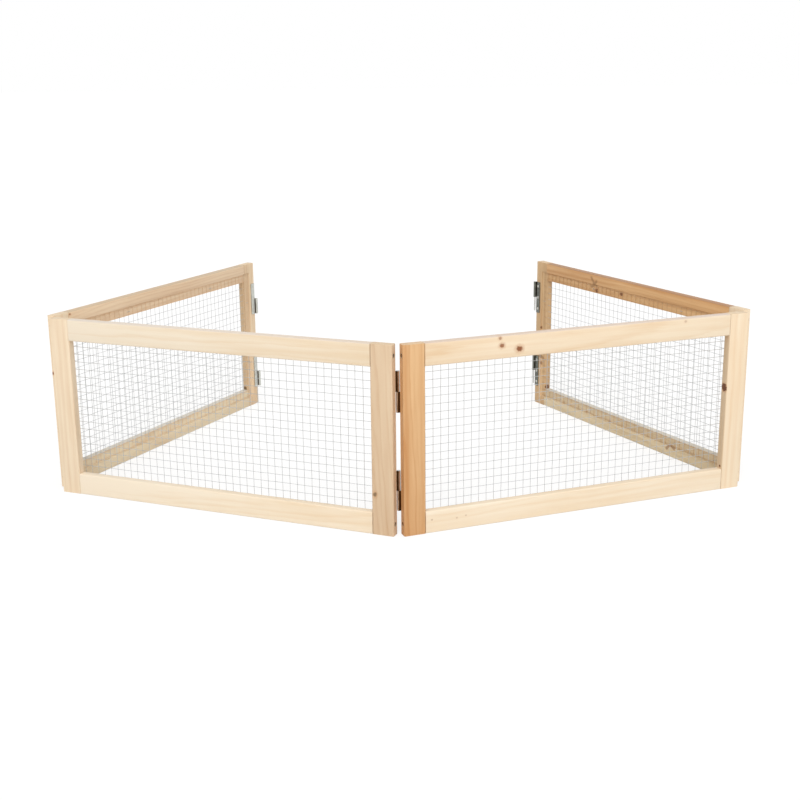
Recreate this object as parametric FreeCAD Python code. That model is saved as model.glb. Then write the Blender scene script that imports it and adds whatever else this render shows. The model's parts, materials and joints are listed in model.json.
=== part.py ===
import FreeCAD, Part
import math
import os

# Guinea pig run: a chain of four equal mesh panels on lift-off hinges, open at the back.
# Millimetres, +Z up. The origin is on the ground under the middle of the run's box, and the
# fold between the two front panels points to -Y.

# Panel frame of planed pine battens
panel_length = 600.0
panel_height = 297.0
frame_thickness = 15.0
stile_width = 35.0
rail_height = 35.0
edge_chamfer = 1.2

# Rebate round the inner side of the opening, where the mesh lies
rebate_land = 18.5
rebate_depth = 2.0

# Welded wire mesh, upright wires against the wood and level wires on top of them
mesh_pitch = 12.7
wire_thickness = 0.9
wire_stub = 1.5
mesh_end_clearance = 1.4

# Staples driven over the upright wires
staple_crown = 6.4
staple_wire = 0.7
staple_clearance = 0.4
cells_per_stile_staple = 10
cells_per_rail_staple = 20

# Screws through the stiles into the ends of the rails
counterbore_radius = 3.5
counterbore_depth = 8.0
counterbore_sides = 8
frame_screw_radius = 2.0
frame_screw_grip = 22.0
frame_screw_head_radius = 3.2
frame_screw_head_height = 2.6

# Lift-off hinges: a leaf on the inner face, rolled into a barrel over half of its length
hinge_length = 63.5
lower_hinge_inset = 37.0
upper_hinge_inset = 42.0
leaf_width = 13.0
leaf_thickness = 1.2
leaf_relief = 0.6
bore_radius = 1.6
axis_overhang = 1.8
barrel_gap = 0.3
curl_end_angle = 208.0

# Hinge pins: a splined head held in the upper barrel, a round end free to lift out of the lower
held_pin_clearance = 0.08
free_pin_clearance = 0.06
pin_end_clearance = 3.0
spline_sides = 8

# Countersunk hinge screws
hinge_screw_count = 3
hinge_screw_spacing = 23.0
hinge_screw_inset = 6.8
hinge_screw_radius = 1.4
hinge_screw_head_radius = 2.9
countersink_clearance = 0.1

# Wood left in front of the tips of the staples and the hinge screws
tip_cover = 4.5

# Sides of the screws, which are faceted
screw_sides = 6

# Angles between the panels' faces on the inside of the run as it stands
centre_angle = 137.4
left_corner_angle = 85.4
right_corner_angle = 83.1

# Places worked out from the sizes above
barrel_radius = bore_radius + leaf_thickness
barrel_length = (hinge_length - barrel_gap) / 2
axis_y = frame_thickness + barrel_radius
left_axis_x = -axis_overhang
right_axis_x = panel_length + axis_overhang
hinge_bottoms = {
    "lower": lower_hinge_inset,
    "upper": panel_height - upper_hinge_inset - hinge_length,
}
rebate_floor = frame_thickness - rebate_depth
staple_room = (staple_crown + staple_wire) / 2 + staple_clearance
column_count = int((panel_length - 2 * (rebate_land + staple_room)) / mesh_pitch)
first_upright = (panel_length - column_count * mesh_pitch) / 2
row_count = int((panel_height - 2 * (rebate_land + mesh_end_clearance + wire_stub)) / mesh_pitch)
first_level = (panel_height - row_count * mesh_pitch) / 2
screw_heights = (rail_height / 2, panel_height - rail_height / 2)

# How far a cutting shape runs past the face that it opens
over_cut = 1.0


def point(x, y, z=0.0):
    return FreeCAD.Vector(x, y, z)


along = point(1, 0)
inward = point(0, 1)
up = point(0, 0, 1)


def flat_face(corners):
    return Part.Face(Part.makePolygon(corners + corners[:1]))


def block(x_span, y_span, z_span):
    """Box between the given low and high values."""
    size = [high - low for low, high in (x_span, y_span, z_span)]
    return Part.makeBox(*size, point(x_span[0], y_span[0], z_span[0]))


def faceted(profile, sides, base, direction):
    """Many-sided piece on an axis, from rings of (distance along, radius) or a point first."""
    turn = FreeCAD.Rotation(up, direction)
    rings = []
    for distance, radius in profile:
        ring = []
        for side in range(sides):
            angle = 2 * math.pi * side / sides
            corner = point(radius * math.cos(angle), radius * math.sin(angle), distance)
            ring.append(base + turn.multVec(corner))
        rings.append(ring)
    pointed = profile[0][1] == 0
    faces = [flat_face(rings[-1])]
    if not pointed:
        faces.append(flat_face(rings[0][::-1]))
    for low, high in zip(rings, rings[1:]):
        for side in range(sides):
            after = (side + 1) % sides
            corners = [low[side], low[after], high[after], high[side]]
            if pointed and low is rings[0]:
                corners = corners[1:]
            faces.append(flat_face(corners))
    return Part.Solid(Part.Shell(faces))


def end_for_end(piece):
    """The same piece made for the other end of a panel."""
    return piece.mirror(point(panel_length / 2, 0), along)


def upside_down(piece):
    """The same piece made for the other long edge of a panel."""
    return piece.mirror(point(0, 0, panel_height / 2), up)


def planed_batten(x_span, z_span, grain):
    """Batten with the four edges along its grain eased."""
    blank = block(x_span, (0, frame_thickness), z_span)
    long_edges = []
    for edge in blank.Edges:
        if abs(edge.tangentAt(edge.FirstParameter).dot(grain)) > 0.99:
            long_edges.append(edge)
    return blank.makeChamfer(edge_chamfer, long_edges)


def left_stile():
    batten = planed_batten((0, stile_width), (0, panel_height), up)
    rebate_x = (rebate_land, stile_width + over_cut)
    rebate_y = (rebate_floor, frame_thickness + over_cut)
    rebate_z = (rebate_land, panel_height - rebate_land)
    batten = batten.cut(block(rebate_x, rebate_y, rebate_z))
    counterbore = [(-over_cut, counterbore_radius), (counterbore_depth, counterbore_radius)]
    for z in screw_heights:
        mouth = point(0, frame_thickness / 2, z)
        batten = batten.cut(faceted(counterbore, counterbore_sides, mouth, along))
    return batten


def bottom_rail():
    x_span = (stile_width, panel_length - stile_width)
    batten = planed_batten(x_span, (0, rail_height), along)
    rebate_y = (rebate_floor, frame_thickness + over_cut)
    rebate_z = (rebate_land, rail_height + over_cut)
    return batten.cut(block(x_span, rebate_y, rebate_z))


def frame_screws():
    """Cylinder-head screws, seated on the floors of the counterbores."""
    tip = -stile_width - frame_screw_grip
    profile = [
        (tip, 0),
        (-counterbore_depth, frame_screw_radius),
        (-counterbore_depth, frame_screw_head_radius),
        (frame_screw_head_height - counterbore_depth, frame_screw_head_radius),
    ]
    screws = []
    for z in screw_heights:
        screw = faceted(profile, screw_sides, point(0, frame_thickness / 2, z), -along)
        screws += [screw, end_for_end(screw)]
    return screws


def wire_mesh():
    """Upright wires on the rebate floor and level wires welded across them."""
    width = column_count * mesh_pitch
    height = row_count * mesh_pitch
    half = wire_thickness / 2
    weld_plane = rebate_floor + wire_thickness
    upright_z = (first_level - wire_stub, first_level + height + wire_stub)
    level_x = (first_upright - wire_stub, first_upright + width + wire_stub)
    wires = []
    for column in range(column_count + 1):
        x = first_upright + column * mesh_pitch
        wires.append(block((x - half, x + half), (rebate_floor, weld_plane), upright_z))
    for row in range(row_count + 1):
        z = first_level + row * mesh_pitch
        wires.append(block(level_x, (weld_plane, weld_plane + wire_thickness), (z - half, z + half)))
    return wires


def staple(x, z):
    """Staple astride the upright wire at x, half way between two level wires."""
    outer = (staple_crown + staple_wire) / 2
    inner = (staple_crown - staple_wire) / 2
    crown = rebate_floor + wire_thickness
    right_leg = [(inner, crown), (inner, tip_cover), (outer, tip_cover), (outer, crown + staple_wire)]
    left_leg = [(-offset, y) for offset, y in reversed(right_leg)]
    outline = [point(x + offset, y, z - staple_wire / 2) for offset, y in right_leg + left_leg]
    return flat_face(outline).extrude(up * staple_wire)


def mesh_staples():
    half = mesh_pitch / 2
    last_upright = first_upright + column_count * mesh_pitch
    last_level = first_level + row_count * mesh_pitch
    staples = []
    for row in range(cells_per_stile_staple // 2, row_count, cells_per_stile_staple):
        z = first_level + row * mesh_pitch + half
        staples += [staple(first_upright, z), staple(last_upright, z)]
    for column in range(cells_per_rail_staple // 2, column_count, cells_per_rail_staple):
        x = first_upright + column * mesh_pitch
        staples += [staple(x, first_level + half), staple(x, last_level - half)]
    return staples


def hinge_screw_places(hinge_bottom):
    """Points on the inner face at the right end where a leaf is screwed down."""
    middle = hinge_bottom + hinge_length / 2
    x = panel_length - hinge_screw_inset
    places = []
    for number in range(hinge_screw_count):
        offset = (number - (hinge_screw_count - 1) / 2) * hinge_screw_spacing
        places.append(point(x, frame_thickness, middle + offset))
    return places


def hinge_screws():
    """Countersunk screws, flush with the leaves at both ends of a panel."""
    profile = [
        (tip_cover - frame_thickness, 0),
        (0, hinge_screw_radius),
        (leaf_thickness, hinge_screw_head_radius),
    ]
    screws = []
    for hinge_bottom in hinge_bottoms.values():
        for place in hinge_screw_places(hinge_bottom):
            screw = faceted(profile, screw_sides, place, inward)
            screws += [screw, end_for_end(screw)]
    return screws


def on_barrel(radius, angle):
    """Point of the right end's barrel section, by its angle from the panel's length."""
    turn = math.radians(angle)
    return point(right_axis_x + radius * math.cos(turn), axis_y + radius * math.sin(turn))


def rolled_section():
    """Section of a leaf whose edge is rolled up into a barrel round the hinge axis."""
    free_edge = panel_length - leaf_width
    leaf_top = frame_thickness + leaf_thickness
    middle_angle = (curl_end_angle - 90) / 2
    outside = [on_barrel(barrel_radius, angle) for angle in (-90, middle_angle, curl_end_angle)]
    inside = [on_barrel(bore_radius, angle) for angle in (curl_end_angle, middle_angle, -90)]
    edges = [
        Part.LineSegment(point(free_edge, frame_thickness), outside[0]).toShape(),
        Part.Arc(*outside).toShape(),
        Part.LineSegment(outside[2], inside[0]).toShape(),
        Part.Arc(*inside).toShape(),
        Part.LineSegment(inside[2], point(free_edge, leaf_top)).toShape(),
        Part.LineSegment(point(free_edge, leaf_top), point(free_edge, frame_thickness)).toShape(),
    ]
    return Part.Face(Part.Wire(edges))


def right_hinge_half(hinge_bottom, barrel_is_upper):
    """Leaf at the right end, with its barrel over the upper or lower half of its length."""
    plain_length = hinge_length - barrel_length
    barrel_bottom = hinge_bottom
    plain_bottom = hinge_bottom + barrel_length
    if barrel_is_upper:
        barrel_bottom = hinge_bottom + plain_length
        plain_bottom = hinge_bottom
    rolled = rolled_section().extrude(up * barrel_length)
    rolled.translate(up * barrel_bottom)
    plain_x = (panel_length - leaf_width, right_axis_x - barrel_radius - leaf_relief)
    plain_y = (frame_thickness, frame_thickness + leaf_thickness)
    plain = block(plain_x, plain_y, (plain_bottom, plain_bottom + plain_length))
    leaf = rolled.fuse(plain).removeSplitter()
    countersink = [
        (0, hinge_screw_radius + countersink_clearance),
        (leaf_thickness, hinge_screw_head_radius + countersink_clearance),
    ]
    for place in hinge_screw_places(hinge_bottom):
        leaf = leaf.cut(faceted(countersink, screw_sides, place, inward))
    return leaf.Solids[0]


def pin_hinge(level):
    """Half with the upper barrel, at a panel's right end."""
    return right_hinge_half(hinge_bottoms[level], True)


def socket_hinge(level):
    """Half with the lower barrel, at a panel's left end."""
    return end_for_end(right_hinge_half(hinge_bottoms[level], False))


def hinge_pins():
    """Pins flush with the tops of the upper barrels, reaching down into the lower ones."""
    head = [(0, bore_radius - held_pin_clearance), (barrel_length, bore_radius - held_pin_clearance)]
    free_radius = bore_radius - free_pin_clearance
    free_length = hinge_length - barrel_length - pin_end_clearance
    pins = []
    for hinge_bottom in hinge_bottoms.values():
        foot = point(right_axis_x, axis_y, hinge_bottom + pin_end_clearance)
        free_end = Part.makeCylinder(free_radius, free_length, foot, up)
        pins.append(free_end.fuse(faceted(head, spline_sides, foot + up * free_length, up)))
    return pins


def panel_nodes():
    """Solids of one panel by node name, in the panel's own frame.

    X runs along the panel from its left end as seen from outside the run, Y from the outer
    face inwards, Z up.
    """
    stile = left_stile()
    rail = bottom_rail()
    return {
        "left_stile": [stile],
        "right_stile": [end_for_end(stile)],
        "bottom_rail": [rail],
        "top_rail": [upside_down(rail)],
        "wire_mesh": wire_mesh(),
        "mesh_staples": mesh_staples(),
        "frame_screws": frame_screws(),
        "upper_socket_hinge": [socket_hinge("upper")],
        "lower_socket_hinge": [socket_hinge("lower")],
        "upper_pin_hinge": [pin_hinge("upper")],
        "lower_pin_hinge": [pin_hinge("lower")],
        "hinge_pins": hinge_pins(),
        "hinge_screws": hinge_screws(),
    }


def panel_turns():
    """Turn of each panel about Z, in degrees, as the run stands."""
    front = (180 - centre_angle) / 2
    return {
        "back_left": 180 + left_corner_angle - front,
        "front_left": -front,
        "front_right": front,
        "back_right": 180 - right_corner_angle + front,
    }


def placed_on(turn, local, target):
    """Placement that turns a panel and brings one of its local points onto a target."""
    rotation = FreeCAD.Rotation(up, turn)
    return FreeCAD.Placement(target - rotation.multVec(local), rotation)


def chained_panels(centre):
    """Placements of the panels, hung on each other's hinge axes from the centre fold."""
    turns = panel_turns()
    left = point(left_axis_x, axis_y)
    right = point(right_axis_x, axis_y)
    places = {}
    places["front_left"] = placed_on(turns["front_left"], right, centre)
    places["front_right"] = placed_on(turns["front_right"], left, centre)
    left_corner = places["front_left"].multVec(left)
    right_corner = places["front_right"].multVec(right)
    places["back_left"] = placed_on(turns["back_left"], right, left_corner)
    places["back_right"] = placed_on(turns["back_right"], left, right_corner)
    return places


def middle_of_box(places):
    """Middle, in plan, of the box round the battens, whose long edges are chamfered."""
    corners = []
    for x, x_eased in ((0, edge_chamfer), (panel_length, panel_length - edge_chamfer)):
        for y, y_eased in ((0, edge_chamfer), (frame_thickness, frame_thickness - edge_chamfer)):
            corners += [point(x_eased, y), point(x, y_eased)]
    box = FreeCAD.BoundBox()
    for place in places.values():
        for corner in corners:
            box.add(place.multVec(corner))
    return box.Center


def standing_panels():
    """Placements of the panels about the middle of the run's box."""
    return chained_panels(-middle_of_box(chained_panels(point(0, 0))))


def main():
    os.makedirs("parts", exist_ok=True)
    nodes = panel_nodes()
    for panel, place in standing_panels().items():
        for node, solids in nodes.items():
            moved = []
            for solid in solids:
                copy = solid.copy()
                copy.Placement = place.multiply(copy.Placement)
                moved.append(copy)
            shape = moved[0] if len(moved) == 1 else Part.makeCompound(moved)
            shape.exportStep("parts/" + panel + "_" + node + ".step")


main()
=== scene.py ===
import json
import math
import random

import bmesh
import bpy
from mathutils import Matrix, Vector


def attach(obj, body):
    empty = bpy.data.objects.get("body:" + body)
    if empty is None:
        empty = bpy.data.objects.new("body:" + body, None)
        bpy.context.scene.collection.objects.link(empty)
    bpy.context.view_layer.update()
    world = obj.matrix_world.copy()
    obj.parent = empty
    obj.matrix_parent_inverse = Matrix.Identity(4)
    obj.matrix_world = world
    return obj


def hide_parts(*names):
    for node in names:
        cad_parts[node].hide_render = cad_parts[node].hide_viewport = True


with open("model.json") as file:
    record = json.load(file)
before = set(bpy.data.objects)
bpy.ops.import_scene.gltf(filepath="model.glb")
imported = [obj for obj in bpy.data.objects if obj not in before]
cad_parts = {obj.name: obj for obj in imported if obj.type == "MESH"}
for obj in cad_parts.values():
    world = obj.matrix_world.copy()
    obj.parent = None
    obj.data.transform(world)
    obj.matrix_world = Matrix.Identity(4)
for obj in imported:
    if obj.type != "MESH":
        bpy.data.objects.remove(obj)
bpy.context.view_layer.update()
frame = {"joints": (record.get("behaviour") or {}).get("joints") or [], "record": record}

PANELS = ("back_left", "front_left", "front_right", "back_right")
CORNERS = ("left_corner", "centre", "right_corner")

# Battens of a panel, in metres; this and the next three blocks hold sizes of the solids
PANEL_LENGTH = 0.6
PANEL_HEIGHT = 0.297
THICKNESS = 0.015
STILE_WIDTH = 0.035
RAIL_HEIGHT = 0.035
RAIL_LENGTH = PANEL_LENGTH - 2 * STILE_WIDTH
ARRIS = 0.0012
REBATE_LAND = 0.0185
REBATE_DEPTH = 0.002
REBATE_FLOOR = THICKNESS - REBATE_DEPTH

# Welded mesh and its staples
MESH_PITCH = 0.0127
WIRE_STUB = 0.0015
COLUMNS = 43
ROWS = 20
UPRIGHTS = [PANEL_LENGTH / 2 + (column - COLUMNS / 2) * MESH_PITCH for column in range(COLUMNS + 1)]
LEVELS = [PANEL_HEIGHT / 2 + (row - ROWS / 2) * MESH_PITCH for row in range(ROWS + 1)]
STAPLE_CROWN = 0.0064
STAPLE_WIRE = 0.0007
CELLS_PER_STILE_STAPLE = 10
CELLS_PER_RAIL_STAPLE = 20

# Hinges and pins
AXIS_OVERHANG = 0.0018
BORE_RADIUS = 0.0016
LEAF_THICKNESS = 0.0012
LEAF_WIDTH = 0.013
LEAF_RELIEF = 0.0006
LEAF_TOP = THICKNESS + LEAF_THICKNESS
BARREL_RADIUS = BORE_RADIUS + LEAF_THICKNESS
AXIS_Y = THICKNESS + BARREL_RADIUS
RIGHT_AXIS_X = PANEL_LENGTH + AXIS_OVERHANG
LEAF_SEAM = RIGHT_AXIS_X - BARREL_RADIUS - LEAF_RELIEF
HINGE_LENGTH = 0.0635
BARREL_GAP = 0.0003
BARREL_LENGTH = (HINGE_LENGTH - BARREL_GAP) / 2
CURL_END = math.radians(208)
LOWER_HINGE_INSET = 0.037
UPPER_HINGE_INSET = 0.042
HINGE_BOTTOMS = dict(lower=LOWER_HINGE_INSET, upper=PANEL_HEIGHT - UPPER_HINGE_INSET - HINGE_LENGTH)
PIN_CLEARANCE = 0.00006
PIN_RADIUS = BORE_RADIUS - PIN_CLEARANCE
PIN_END_CLEARANCE = 0.003

# Screws
TIP_COVER = 0.0045
HINGE_SCREW_SPACING = 0.023
HINGE_SCREW_INSET = 0.0068
HINGE_SCREW_X = PANEL_LENGTH - HINGE_SCREW_INSET
HINGE_SCREW_HEIGHTS = [HINGE_LENGTH / 2 + offset * HINGE_SCREW_SPACING for offset in (-1, 0, 1)]
HINGE_SCREW_RADIUS = 0.0014
HINGE_SCREW_HEAD = 0.0029
HINGE_SCREW_DEPTH = THICKNESS - TIP_COVER
COUNTERSINK_CLEARANCE = 0.0001
COUNTERBORE_RADIUS = 0.0035
COUNTERBORE_DEPTH = 0.008
FRAME_SCREW_RADIUS = 0.002
FRAME_SCREW_HEAD = 0.0032
FRAME_SCREW_HEAD_HEIGHT = 0.0026
FRAME_SCREW_GRIP = 0.022
FRAME_SCREW_LENGTH = STILE_WIDTH - COUNTERBORE_DEPTH + FRAME_SCREW_GRIP
FRAME_SCREW_HEIGHTS = (RAIL_HEIGHT / 2, PANEL_HEIGHT - RAIL_HEIGHT / 2)

# Details that the solids don't have; their wires are a little thicker
EASE = 0.0004
LEAF_EASE = 0.00018
LEAF_CORNER = 0.002
BARREL_ROOT = 0.004
WIRE_RADIUS = 0.00034
WIRE_SWAY = 0.00022
WELD_OFFSET = 1.8 * WIRE_RADIUS
STAPLE_ROOM = 2.2 * WIRE_RADIUS
STAPLE_BEND = 0.0008
STAPLE_DEPTH = 0.003
HINGE_SCREW_RECESS = (0.0017, 0.0011)
FRAME_SCREW_RECESS = (0.0019, 0.0014)
SLOT_WIDTH_SHARE = 0.17
SLOT_TAPER = (0.45, 0.7)

# How fine the meshes are
WELD_DISTANCE = 1e-7
SLIVER = 2e-6
SHARP_ANGLE = math.radians(35)
EASE_SEGMENTS = 2
CORNER_SEGMENTS = 5
BEND_SEGMENTS = 4
CURL_SEGMENTS = 44
WIRE_SIDES = 8
BORE_SIDES = 32
SCREW_SIDES = 28

# Millimetres in a metre, which the materials count in
MILLIMETRES = 1000

# Directions of prisms, turns that take Z inwards and to the left, and mirrors
ALONG_X, ALONG_Y, ALONG_Z = range(3)
INWARD = Matrix.Rotation(-math.pi / 2, 4, "X")
LEFTWARD = Matrix.Rotation(-math.pi / 2, 4, "Y")
MIRROR_ENDS = Matrix.Translation((PANEL_LENGTH, 0, 0)) @ Matrix.Scale(-1, 4, (1, 0, 0))
MIRROR_FACES = Matrix.Scale(-1, 4, (0, 0, 1))


# Where the panels stand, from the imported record

def axis_points():
    """Plan positions of the five hinge axes, from the free left end to the free right end."""
    joints = {joint["name"]: joint for joint in frame["joints"]}
    mounts = {mount["name"]: mount for mount in frame["record"]["mounts"]}
    places = [mounts["upper_socket"]["pos_m"]]
    places += [joints[corner + "_fold"]["pos_m"] for corner in CORNERS]
    places.append(mounts["upper_pin"]["pos_m"])
    return [Vector((place[0], place[1], 0)) for place in places]


def frame_matrix(x, y, z, origin):
    """Matrix of a frame with these axes and this origin."""
    matrix = Matrix((x, y, z)).transposed().to_4x4()
    matrix.translation = origin
    return matrix


def panel_matrices():
    """Frame of each panel: X along it from the left end, Y from the outer face inwards, Z up."""
    points = axis_points()
    matrices = {}
    for panel, left, right in zip(PANELS, points, points[1:]):
        along = (right - left).normalized()
        inward = Vector((-along.y, along.x, 0))
        origin = left + along * AXIS_OVERHANG - inward * AXIS_Y
        matrices[panel] = frame_matrix(along, inward, Vector((0, 0, 1)), origin)
    return matrices


MATRICES = panel_matrices()


# Mesh helpers

def new_object(name, data):
    piece = bpy.data.objects.new(name, data)
    bpy.context.scene.collection.objects.link(piece)
    return piece


def mesh_of(name, bm):
    """Mesh with what a bmesh holds; the bmesh is freed."""
    mesh = bpy.data.meshes.new(name)
    bm.to_mesh(mesh)
    bm.free()
    return mesh


def mesh_from(name, build):
    """Mesh filled by a function that adds to a bmesh."""
    bm = bmesh.new()
    build(bm)
    bmesh.ops.remove_doubles(bm, verts=bm.verts, dist=WELD_DISTANCE)
    bmesh.ops.recalc_face_normals(bm, faces=bm.faces)
    return mesh_of(name, bm)


def add_solid(bm, outlines):
    """Closed solid through outlines that follow each other and have as many points each."""
    rings = [[bm.verts.new(place) for place in outline] for outline in outlines]
    bm.faces.new(rings[0][::-1])
    bm.faces.new(rings[-1])
    for low, high in zip(rings, rings[1:]):
        for side in range(len(low)):
            after = (side + 1) % len(low)
            bm.faces.new((low[side], low[after], high[after], high[side]))


def prism(name, outline, direction, start, end):
    """Prism over a flat outline, whose points lack the coordinate in which the prism runs."""
    def outline_at(distance):
        return [(*place[:direction], distance, *place[direction:]) for place in outline]

    return mesh_from(name, lambda bm: add_solid(bm, [outline_at(start), outline_at(end)]))


def turned(name, profile, sides, matrix):
    """Round piece about Z through (z, radius) rings; a radius of 0 closes each end."""
    turns = [2 * math.pi * side / sides for side in range(sides)]

    def ring(z, radius):
        return [matrix @ Vector((radius * math.cos(turn), radius * math.sin(turn), z)) for turn in turns]

    return mesh_from(name, lambda bm: add_solid(bm, [ring(z, radius) for z, radius in profile]))


def add_tube(bm, points, radius, cross):
    """Tube along points, with closed ends; cross is a direction that the path never takes."""
    turns = [2 * math.pi * (side + 0.5) / WIRE_SIDES for side in range(WIRE_SIDES)]
    outlines = []
    for behind, place, ahead in zip([points[0], *points], points, [*points[1:], points[-1]]):
        along = (ahead - behind).normalized()
        first = along.cross(cross).normalized()
        second = along.cross(first)
        spokes = [first * math.cos(turn) + second * math.sin(turn) for turn in turns]
        outlines.append([place + radius * spoke for spoke in spokes])
    add_solid(bm, outlines)


def rounded_outline(corners, radius, segments):
    """Outline with rounded corners, or chamfers of one segment; a corner is (first, second, rounded)."""
    outline = []
    for number, (first, second, rounded) in enumerate(corners):
        here = Vector((first, second))
        if not rounded:
            outline.append((first, second))
            continue
        before = (Vector(corners[number - 1][:2]) - here).normalized()
        after = (Vector(corners[(number + 1) % len(corners)][:2]) - here).normalized()
        centre = here + (before + after) * radius
        for step in range(segments + 1):
            turn = math.pi / 2 * step / segments
            spot = centre - after * radius * math.cos(turn) - before * radius * math.sin(turn)
            outline.append((spot.x, spot.y))
    return outline


def modified(mesh, kind, *all_settings):
    """Mesh as modifiers of one kind leave it, one for each group of settings."""
    base = new_object("base", mesh)
    for settings in all_settings:
        modifier = base.modifiers.new(kind, kind)
        for key, value in settings.items():
            setattr(modifier, key, value)
    result = bpy.data.meshes.new_from_object(base.evaluated_get(bpy.context.evaluated_depsgraph_get()))
    bpy.data.objects.remove(base)
    return result


def combined(mesh, others, operation):
    """Mesh with other meshes cut out of it or joined to it."""
    spent = [new_object("other", other) for other in others]
    cuts = [{"operation": operation, "solver": "EXACT", "object": other} for other in spent]
    result = modified(mesh, "BOOLEAN", *cuts)
    for other in spent:
        bpy.data.objects.remove(other)
    return result


def eased(mesh, width):
    """Mesh with its sharp edges rounded."""
    limit = {"limit_method": "ANGLE", "angle_limit": SHARP_ANGLE}
    return modified(mesh, "BEVEL", {"width": width, "segments": EASE_SEGMENTS, **limit})


def cleaned(mesh):
    """Mesh without the slivers that cutting leaves behind."""
    bm = bmesh.new()
    bm.from_mesh(mesh)
    bmesh.ops.dissolve_degenerate(bm, dist=SLIVER, edges=bm.edges)
    return mesh_of("cleaned", bm)


def joined_copies(name, placed):
    """One mesh of several meshes, each moved by its own matrix."""
    bm = bmesh.new()
    for mesh, matrix in placed:
        part = mesh.copy()
        part.transform(matrix)
        if matrix.determinant() < 0:
            part.flip_normals()
        bm.from_mesh(part)
        bpy.data.meshes.remove(part)
    return mesh_of(name, bm)


def finish_mesh(mesh, material):
    """Give a mesh its material and shade its rounded faces smoothly."""
    mesh.materials.clear()
    mesh.materials.append(material)
    mesh.shade_smooth()
    mesh.set_sharp_from_angle(angle=SHARP_ANGLE)


# Battens, in their own frames: X along the grain, Y from the outside edge of the panel to the
# opening, Z from the outer face inwards

def rail_mesh():
    corners = [
        (0, 0, True), (RAIL_HEIGHT, 0, True), (RAIL_HEIGHT, REBATE_FLOOR, False),
        (REBATE_LAND, REBATE_FLOOR, False), (REBATE_LAND, THICKNESS, False), (0, THICKNESS, True),
    ]
    return eased(prism("rail", rounded_outline(corners, ARRIS, 1), ALONG_X, 0, RAIL_LENGTH), EASE)


def stile_mesh():
    corners = [(0, 0, True), (STILE_WIDTH, 0, True), (STILE_WIDTH, THICKNESS, True), (0, THICKNESS, True)]
    blank = prism("stile", rounded_outline(corners, ARRIS, 1), ALONG_X, 0, PANEL_HEIGHT)
    over = 0.001
    rebate = [
        (REBATE_LAND, REBATE_FLOOR), (STILE_WIDTH + over, REBATE_FLOOR),
        (STILE_WIDTH + over, THICKNESS + over), (REBATE_LAND, THICKNESS + over),
    ]
    cutters = [prism("rebate", rebate, ALONG_X, REBATE_LAND, PANEL_HEIGHT - REBATE_LAND)]
    bore = [
        (-over, 0), (-over, COUNTERBORE_RADIUS),
        (COUNTERBORE_DEPTH, COUNTERBORE_RADIUS), (COUNTERBORE_DEPTH, 0),
    ]
    for x in FRAME_SCREW_HEIGHTS:
        place = Matrix.Translation((x, 0, THICKNESS / 2)) @ INWARD
        cutters.append(turned("bore", bore, BORE_SIDES, place))
    return eased(combined(blank, cutters, "DIFFERENCE"), EASE)


def batten_frames():
    """Frame of each batten of a panel in the panel's own frame."""
    x, y, z = Matrix.Identity(3)
    return {
        "left_stile": frame_matrix(z, x, y, (0, 0, 0)),
        "right_stile": frame_matrix(z, -x, y, (PANEL_LENGTH, 0, 0)),
        "bottom_rail": frame_matrix(x, z, y, (STILE_WIDTH, 0, 0)),
        "top_rail": frame_matrix(x, -z, y, (STILE_WIDTH, 0, PANEL_HEIGHT)),
    }


# Wire mesh and staples, in the panel's frame

def add_wire(bm, welds, stub):
    """Wire through its welds, with a stub beyond the first and the last."""
    add_tube(bm, [welds[0] - stub, *welds, welds[-1] + stub], WIRE_RADIUS, Vector((0, 1, 0)))


def wire_mesh(seed):
    """Upright and level wires, a little uneven, pressed together at their welds."""
    draw = random.Random(seed)
    sway = [[WIRE_SWAY * draw.uniform(-1, 1) for _ in LEVELS] for _ in UPRIGHTS]
    rise = [[WIRE_SWAY * draw.uniform(-1, 1) for _ in UPRIGHTS] for _ in LEVELS]
    behind = REBATE_FLOOR + WIRE_RADIUS
    ahead = behind + WELD_OFFSET

    def build(bm):
        for x, shifts in zip(UPRIGHTS, sway):
            welds = [Vector((x + shift, behind, z)) for shift, z in zip(shifts, LEVELS)]
            add_wire(bm, welds, Vector((0, 0, WIRE_STUB)))
        for z, shifts in zip(LEVELS, rise):
            welds = [Vector((x, ahead, z + shift)) for shift, x in zip(shifts, UPRIGHTS)]
            add_wire(bm, welds, Vector((WIRE_STUB, 0, 0)))

    return mesh_from("wires", build)


def staple_mesh():
    """Staple astride a wire at the origin: crown along X, legs down into the wood."""
    half = STAPLE_CROWN / 2
    crown = STAPLE_ROOM + STAPLE_WIRE / 2
    points = [Vector((-half, -STAPLE_DEPTH, 0))]
    for step in range(BEND_SEGMENTS + 1):
        turn = math.pi / 2 * step / BEND_SEGMENTS
        x = -half + STAPLE_BEND * (1 - math.cos(turn))
        y = crown - STAPLE_BEND * (1 - math.sin(turn))
        points.append(Vector((x, y, 0)))
    points += [Vector((-place.x, place.y, 0)) for place in reversed(points)]
    return mesh_from("staple", lambda bm: add_tube(bm, points, STAPLE_WIRE / 2, Vector((0, 0, 1))))


def staple_places():
    """Spots on the rebate floor where staples straddle the upright wires."""
    half = MESH_PITCH / 2
    places = []
    for z in LEVELS[CELLS_PER_STILE_STAPLE // 2:ROWS:CELLS_PER_STILE_STAPLE]:
        places += [(UPRIGHTS[0], z + half), (UPRIGHTS[-1], z + half)]
    for x in UPRIGHTS[CELLS_PER_RAIL_STAPLE // 2:COLUMNS:CELLS_PER_RAIL_STAPLE]:
        places += [(x, LEVELS[0] + half), (x, LEVELS[-1] - half)]
    return places


# Hinges, in the panel's frame and made for its right end, with their lower ends at z = 0

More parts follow.
